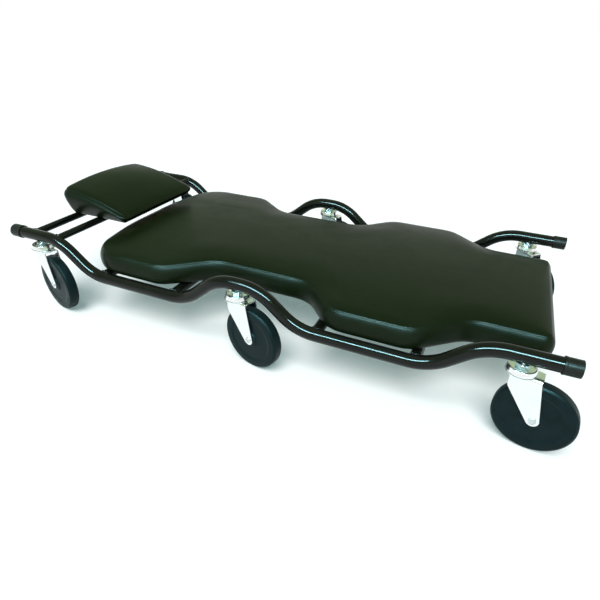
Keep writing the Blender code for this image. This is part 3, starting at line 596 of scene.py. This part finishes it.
def hexagon(flats, levels, sides=72):
    """Hex nut or head: the wall is at flats / 2 / cos(a folded into one sixth of a turn), and each level of
    (height, limit) also keeps it inside a round of that radius, which gives the turned chamfers."""
    a = np.linspace(0, 2 * np.pi, sides, endpoint=False)
    wall = flats / 2 / np.cos((a + np.pi / 6) % (np.pi / 3) - np.pi / 6)
    levels = np.asarray(levels, float)
    radius = np.minimum(wall[None], levels[:, 1:])
    return np.stack(np.broadcast_arrays(radius * np.cos(a), radius * np.sin(a), levels[:, :1]), -1)


plated, tree, shader, spot = coated("plated_steel", {"Metallic": 1.0})
smudge = handled(tree, spot, 90.0, 420.0)["Smudge"]
tree.links.new(mixed(tree, smudge, (0.60, 0.61, 0.62, 1), (0.70, 0.70, 0.69, 1)), shader["Base Color"])
tree.links.new(ranged(tree, smudge, 0.26, 0.42), shader["Roughness"])
bumped(tree, shader, speckled(tree, spot["Object"], 1400.0, 2.0), 0.08, 0.0002)

washer, corner_r = BOLT_FLATS * 0.49, BOLT_FLATS / math.sqrt(3)
for place, (x, off, seat) in BOLT_SPOTS.items():
    top, low = seat - BOLT_GAP, seat - BOLT_GAP - BOLT_HEAD_H
    head = hexagon(BOLT_FLATS, [(low, corner_r * 0.86), (low + 0.0007, corner_r * 1.01),
                                (top - 0.0006, corner_r * 1.01), (top - 0.0006, washer), (top, washer)])
    shank = turned([(BOLT_R, top - 0.001), (BOLT_R, top + BOLT_REACH)], 24)
    for side, y in (("right", -off), ("left", off)):
        made = [patch(g + np.array([x, y, 0]), around=True, ends=(0, -1)) for g in (head, shank)]
        name = f"{place}_{side}_bolt"
        piece(f"{name}_hex", made, plated, "frame", [name], crease=25)


# Casters: upper race, king pin and hex collar. The king pin hangs the fork from a pressed race, and the hex
# collar is screwed up against the rail. They stay with the frame while the fork turns under them.
CASTER_X = {"head": -0.505, "mid": 0.0, "foot": 0.505}
TRAIL, WHEEL_R = 0.038, 0.0645
FORK_TOP, SHEET = 0.1413, 0.0025
RACE_Z, RACE_FLOOR, RACE_TOP, RACE_BORE = 0.1418, 0.1465, 0.1503, 0.0063
COLLAR_Z, COLLAR_TOP, COLLAR_FLATS, COLLAR_CHAMFER = 0.1468, 0.1553, 0.019, 0.0009
PIN_R, PIN_HEAD_R, PIN_HEAD_H, PIN_PLAY = 0.006, 0.009, 0.0025, 0.0005
STUD_R, STUD_IN, STUD_H = 0.005, 0.0005, 0.019
turns = {joint["name"].removesuffix("_roll"): math.atan2(-joint["axis"][0], joint["axis"][1])
         for joint in frame["joints"] if joint["name"].endswith("_roll")}


def swung(grid, caster):
    """A caster's own points, with its swivel axis on Z and its wheel behind it at +X, turned to its rest
    angle and put under its rail."""
    end, side = caster.split("_")
    turn = turns[caster]
    rail_y = -RAIL_Y if side == "right" else RAIL_Y
    x = CASTER_X[end] + grid[..., 0] * math.cos(turn) - grid[..., 1] * math.sin(turn)
    y = rail_y + grid[..., 0] * math.sin(turn) + grid[..., 1] * math.cos(turn)
    return np.stack([x, y, grid[..., 2]], -1)


zinc, tree, shader, spot = coated("bright_zinc", {"Metallic": 1.0})
spangle = node(tree, "ShaderNodeTexVoronoi", {"Vector": spot["Object"], "Scale": 240.0, "Randomness": 1.0})
tone = node(tree, "ShaderNodeSeparateColor", {0: spangle.outputs["Color"]}).outputs[0]
marks = handled(tree, spot, 40.0, 260.0)
bright = mixed(tree, tone, (0.88, 0.89, 0.885, 1), (0.90, 0.905, 0.90, 1))
bright = mixed(tree, worked(tree, "MULTIPLY", marks["Smudge"], 0.15), bright, (0.80, 0.81, 0.81, 1))
tree.links.new(bright, shader["Base Color"])
dull = worked(tree, "ADD", ranged(tree, marks["Smudge"], 0.13, 0.20), worked(tree, "MULTIPLY", tone, 0.02))
hairlines = worked(tree, "MULTIPLY", marks["Scratch"], 0.15)
tree.links.new(worked(tree, "ADD", dull, hairlines), shader["Roughness"])
bumped(tree, shader, speckled(tree, spot["Object"], 320.0, 3.0), 0.012, 0.0003)

corner_r = COLLAR_FLATS / math.sqrt(3)
collar = hexagon(COLLAR_FLATS, [(COLLAR_Z, corner_r * 0.90), (COLLAR_Z + COLLAR_CHAMFER, corner_r * 1.01),
                                (COLLAR_TOP - COLLAR_CHAMFER, corner_r * 1.01),
                                (COLLAR_TOP, corner_r * 0.90)], 96)
head_top = FORK_TOP - SHEET - PIN_PLAY
head_low = head_top - PIN_HEAD_H
stud_low, stud_top = COLLAR_TOP - STUD_IN, COLLAR_TOP + STUD_H
king_pin = turned(rounded([(AXIS_GAP, head_low), (PIN_HEAD_R, head_low), (PIN_HEAD_R, head_top),
                           (PIN_R, head_top), (PIN_R, stud_low), (STUD_R, stud_low), (STUD_R, stud_top),
                           (AXIS_GAP, stud_top)], [0.0008, 0.0004, 0.0, 0.0, 0.0, 0.001]), 48)
race = turned(rounded([(RACE_BORE, RACE_Z), (0.0240, RACE_Z), (0.0238, RACE_Z + 0.0020), (0.0215, RACE_TOP),
                       (0.0193, RACE_TOP), (0.0178, RACE_FLOOR), (RACE_BORE, RACE_FLOOR)],
                      [0.0006, 0.0008, 0.0008, 0.0008, 0.0010]), 96)
for caster in turns:
    made = [patch(swung(g, caster), around=True, ends=(0, -1)) for g in (collar, king_pin)]
    piece(f"{caster}_king_pin", made, plated, "frame", [f"{caster}_stem"], crease=25)
    ring = patch(swung(race, caster), around=True, along=True)
    piece(f"{caster}_upper_race", [ring], zinc, "frame", [f"{caster}_race_cap"])


# Forks. Each is blanked and folded from one sheet of steel: a top plate with a round disc under the race, and
# two tapered legs that end in a round eye on the axle, bright zinc plated.
LEG_Y, FOLD_R, FOLD_DROP, EYE_R = 0.0140, 0.004, 0.012, 0.010
LEG_FRONT, LEG_REAR = (-0.0125, 0.1170), (0.0330, 0.14005)
PLATE_FRONT, PLATE_REAR, SHEET_EDGE = 0.0095, 0.0025, 0.0004
DISC_R, DISC_HOLE_R = 0.0245, 0.0100
DISC_TOP, DISC_LOW = FORK_TOP + 0.0001, FORK_TOP - 0.0022


def fork_sheet(columns=28):
    """Middle surface of the folded sheet. One parameter goes up one leg, over the fold, across the plate and
    down the other leg; the other goes from the front edge to the rear edge at that place. Below the plate the
    edges are straight lines that touch the eye's circle, and then the circle itself. The plate bulges at the
    front as 1 - t^2 and at the rear as 1 - t^4, with t the way from its middle to a leg."""
    top = FORK_TOP - SHEET / 2
    fold_end = top - FOLD_DROP
    corner = rounded([(-LEG_Y, fold_end), (-LEG_Y, top), (LEG_Y, top), (LEG_Y, fold_end)], [FOLD_R] * 2)
    low = WHEEL_R - EYE_R + 0.00004
    eye = WHEEL_R - EYE_R * np.cos(np.linspace(math.acos((WHEEL_R - low) / EYE_R), 1.75, 16))
    leg = np.concatenate([eye, np.linspace(eye[-1], fold_end, 15)[1:-1]])
    y = np.concatenate([np.full(len(leg), -LEG_Y), corner[:, 0], np.full(len(leg), LEG_Y)])
    z = np.concatenate([leg, corner[:, 1], leg[::-1]])

    def edge(point, hand):
        reach = np.array(point) - (TRAIL, WHEEL_R)
        a = math.atan2(reach[1], reach[0]) + hand * math.acos(EYE_R / np.linalg.norm(reach))
        touch = np.array([TRAIL + EYE_R * math.cos(a), WHEEL_R + EYE_R * math.sin(a)])
        line = touch[0] + (z - touch[1]) * (point[0] - touch[0]) / (point[1] - touch[1])
        chord = np.sqrt(np.maximum(EYE_R**2 - (z - WHEEL_R) ** 2, 0))
        return np.where(z > touch[1], line, TRAIL - hand * chord)

    front = np.where(z > LEG_FRONT[1], LEG_FRONT[0], edge(LEG_FRONT, 1))
    front = front - PLATE_FRONT * np.clip(1 - (y / (LEG_Y - 0.001)) ** 2, 0, 1)
    rear = edge(LEG_REAR, -1) + PLATE_REAR * np.clip(1 - (y / (LEG_Y - 0.002)) ** 4, 0, 1)
    share = np.linspace(0, 1, columns)
    grid = np.empty((len(z), columns, 3))
    grid[..., 0] = front[:, None] + (rear - front)[:, None] * share
    grid[..., 1] = y[:, None]
    grid[..., 2] = z[:, None]
    return grid


disc = turned(rounded([(DISC_HOLE_R, DISC_TOP), (DISC_HOLE_R, DISC_LOW), (0.0232, DISC_LOW),
                       (DISC_R, FORK_TOP - 0.0010), (DISC_R, DISC_TOP)], [0.0, 0.0006, 0.0006]), 96)
sheet_points = fork_sheet()
for caster in turns:
    body = f"{caster}_caster"
    sheet = patch(swung(sheet_points, caster))
    fork = piece(f"{caster}_folded_fork", [sheet], zinc, body, [f"{caster}_fork"], crease=60)
    wall = fork.modifiers.new("sheet", "SOLIDIFY")
    wall.thickness, wall.offset = SHEET, 0.0
    edge = fork.modifiers.new("edge", "BEVEL")
    edge.width, edge.segments = SHEET_EDGE, 2
    edge.limit_method, edge.angle_limit = "ANGLE", math.radians(50)
    ring = patch(swung(disc, caster), around=True, along=True)
    piece(f"{caster}_fork_disc", [ring], zinc, body, [f"{caster}_fork"])


# Axles and bushings. A headed steel rivet goes through both legs, and a plain steel bushing on it carries the
# wheel and keeps it clear of the fork.
AXLE_R, AXLE_HEAD_R, AXLE_HEAD_H, LEG_OUT, LEG_IN = 0.004, 0.00625, 0.0021, 0.01525, 0.01275
SLEEVE_R, SLEEVE_BORE, SLEEVE_PLAY = 0.006, 0.0042, 0.0002


def on_axle(grid):
    """Points made about Z, laid along the wheel's axle across the caster."""
    return np.stack([TRAIL + grid[..., 0], -grid[..., 2], WHEEL_R + grid[..., 1]], -1)


dark_steel, tree, shader, spot = coated("dark_steel", {"Metallic": 1.0})
smudge = handled(tree, spot, 70.0, 380.0)["Smudge"]
tree.links.new(mixed(tree, smudge, (0.06, 0.06, 0.063, 1), (0.11, 0.11, 0.115, 1)), shader["Base Color"])
tree.links.new(ranged(tree, smudge, 0.3, 0.5), shader["Roughness"])
bumped(tree, shader, speckled(tree, spot["Object"], 900.0, 3.0), 0.12, 0.0002)

rivet_seat, rivet_end, sleeve_end = LEG_OUT + 0.0001, LEG_OUT + AXLE_HEAD_H, LEG_IN - SLEEVE_PLAY
half_rivet = rounded([(AXLE_R, 0.0), (AXLE_R, rivet_seat), (AXLE_HEAD_R, rivet_seat),
                      (AXLE_HEAD_R, LEG_OUT + 0.0012), (0.0048, rivet_end), (AXIS_GAP, rivet_end)],
                     [0.0, 0.0003, 0.0005, 0.0008])
rivet = turned(np.concatenate([(half_rivet * (1, -1))[::-1], half_rivet[1:]]), 64)
sleeve = turned(rounded([(SLEEVE_BORE, -sleeve_end), (SLEEVE_R, -sleeve_end), (SLEEVE_R, sleeve_end),
                         (SLEEVE_BORE, sleeve_end)], [0.0004, 0.0004]), 48)
for caster in turns:
    body = f"{caster}_caster"
    headed = patch(swung(on_axle(rivet), caster), around=True, ends=(0, -1))
    piece(f"{caster}_rivet", [headed], plated, body, [f"{caster}_axle"])
    ring = patch(swung(on_axle(sleeve), caster), around=True, along=True)
    piece(f"{caster}_sleeve", [ring], dark_steel, body, [f"{caster}_bushing"])


# Wheels. Each is moulded in one piece of hard black rubber: a crowned tread with round shoulders, a raised
# rim, a recessed web and a hub that runs on the bushing.
HUB_BORE, HUB_R, HUB_Y = 0.0065, 0.0150, 0.0121

rubber, tree, shader, spot = coated("hard_black_rubber", {"Specular IOR Level": 0.11,
                                                          "Specular Tint": (0.75, 1.0, 1.0, 1)})
marks, film = handled(tree, spot, 45.0, 200.0), dusted(tree, spot, 0.02)
black = mixed(tree, marks["Smudge"], (0.0022, 0.0088, 0.0104, 1), (0.0042, 0.0128, 0.0148, 1))
tree.links.new(mixed(tree, film, black, (0.3, 0.29, 0.27, 1)), shader["Base Color"])
tree.links.new(ranged(tree, marks["Smudge"], 0.36, 0.52), shader["Roughness"])
bumped(tree, shader, speckled(tree, spot["Object"], 700.0, 3.0), 0.1, 0.0003)

half_wheel = rounded([(HUB_BORE, 0.0), (HUB_BORE, HUB_Y), (HUB_R, HUB_Y), (0.0168, 0.0096), (0.0440, 0.0098),
                      (0.0485, 0.0112), (0.0602, 0.01125), (0.0642, 0.0080), (WHEEL_R, 0.0)],
                     [0.0006, 0.0012, 0.0016, 0.0060, 0.0060, 0.0025, 0.0030])
wheel = turned(np.concatenate([(half_wheel * (1, -1))[::-1], half_wheel[1:-1]]), 128)
for caster in turns:
    made = patch(swung(on_axle(wheel), caster), around=True, along=True)
    piece(f"{caster}_moulded_wheel", [made], rubber, f"{caster}_roller", [f"{caster}_wheel"])


# Studio. A pale floor that keeps the shadow, a white room with a pale olive ceiling that only shines show, a
# broad soft sun from the camera's side that only matt surfaces show, and a long cool strip light for the
# long highlights.
FLOOR_HALF, CEILING_HALF, CEILING_Z = 60.0, 7.5, 2.3
SUN_FROM, STRIP_FROM, STRIP_TO = (0.2, -1.5, 2.4), (0.05, -1.66, 1.78), (0.0, -0.1, 0.13)
CAMERA_AT, CAMERA_TURNS = (0.404031, -0.901954, 0.597562), (22.767, 31.217, 1.616)


def level_square(name, half, z, order):
    """A square at height z that reaches half to each side, its corners taken in an order."""
    mesh = bpy.data.meshes.new(name)
    mesh.from_pydata([(-half, -half, z), (half, -half, z), (half, half, z), (-half, half, z)], [], [order])
    made = bpy.data.objects.new(name, mesh)
    bpy.context.scene.collection.objects.link(made)
    return made


def bare_tree(block):
    """The node tree of a material or a world, emptied."""
    block.use_nodes = True
    block.node_tree.nodes.clear()
    return block.node_tree


def seen_directly(tree):
    """1 for a ray from the camera, off a shine or through something clear, and otherwise 0."""
    path = node(tree, "ShaderNodeLightPath").outputs
    carried = worked(tree, "MAXIMUM", path["Is Glossy Ray"], path["Is Transmission Ray"])
    return worked(tree, "MAXIMUM", path["Is Camera Ray"], carried)


floor = level_square("floor", FLOOR_HALF, 0.0, (0, 1, 2, 3))
pale = bpy.data.materials.new("pale_floor")
tree = bare_tree(pale)
matte = node(tree, "ShaderNodeBsdfDiffuse", {"Color": (0.80, 0.80, 0.80, 1)}).outputs[0]
strength = worked(tree, "MULTIPLY", seen_directly(tree), 0.24)
glow = node(tree, "ShaderNodeEmission", {"Color": (0.60, 1, 1, 1), "Strength": strength}).outputs[0]
both = node(tree, "ShaderNodeAddShader", {0: matte, 1: glow}).outputs[0]
node(tree, "ShaderNodeOutputMaterial", {"Surface": both})
floor.data.materials.append(pale)

ceiling = level_square("ceiling", CEILING_HALF, CEILING_Z, (3, 2, 1, 0))
ceiling.visible_camera = ceiling.visible_diffuse = ceiling.visible_shadow = False
olive = bpy.data.materials.new("olive_ceiling")
tree = bare_tree(olive)
shine = node(tree, "ShaderNodeEmission", {"Color": (0.77, 1.0, 0.64, 1), "Strength": 0.52}).outputs[0]
node(tree, "ShaderNodeOutputMaterial", {"Surface": shine})
ceiling.data.materials.append(olive)

room = bpy.data.worlds.new("white_room")
tree = bare_tree(room)
strength = ranged(tree, seen_directly(tree), 0.25, 1.0)
sky = node(tree, "ShaderNodeBackground", {"Color": (1, 1, 1, 1), "Strength": strength}).outputs[0]
node(tree, "ShaderNodeOutputWorld", {"Surface": sky})
bpy.context.scene.world = room


def placed_lamp(name, light, place, target):
    """A lamp at a place, facing a target."""
    made = bpy.data.objects.new(name, light)
    made.location = place
    towards = np.array(target, float) - place
    made.rotation_euler = (math.acos(-towards[2] / np.linalg.norm(towards)), 0.0,
                           math.atan2(towards[1], towards[0]) - math.pi / 2)
    bpy.context.scene.collection.objects.link(made)
    return made


overhead = bpy.data.lights.new("overhead", "SUN")
overhead.energy, overhead.angle, overhead.color = 3.3, math.radians(40), (1.0, 1.0, 1.0)
placed_lamp("overhead", overhead, SUN_FROM, (0.0, 0.0, 0.0)).visible_glossy = False
strip = bpy.data.lights.new("strip", "AREA")
strip.shape, strip.size, strip.size_y = "RECTANGLE", 2.3, 0.28
strip.energy, strip.color = 225.0, (0.46, 0.90, 1.0)
placed_lamp("strip", strip, STRIP_FROM, STRIP_TO).visible_diffuse = False

azimuth, elevation, roll = (math.radians(d) for d in CAMERA_TURNS)
level = math.cos(elevation)
back = np.array([math.sin(azimuth) * level, -math.cos(azimuth) * level, math.sin(elevation)])
right = np.cross(-back, (0, 0, 1)) / np.linalg.norm(np.cross(-back, (0, 0, 1)))
up = np.cross(right, -back)
tilted_right = math.cos(roll) * right + math.sin(roll) * up
tilted_up = -math.sin(roll) * right + math.cos(roll) * up
stand = np.eye(4)
stand[:3] = np.stack([tilted_right, tilted_up, back, CAMERA_AT], 1)
camera = bpy.data.objects.new("camera", bpy.data.cameras.new("camera"))
camera.data.sensor_width, camera.data.lens = 36.0, 27.812
camera.data.clip_start, camera.data.clip_end = 0.02, 200.0
camera.matrix_world = Matrix(stand.tolist())
bpy.context.scene.collection.objects.link(camera)
bpy.context.scene.camera = camera
bpy.context.scene.view_settings.view_transform = "Standard"
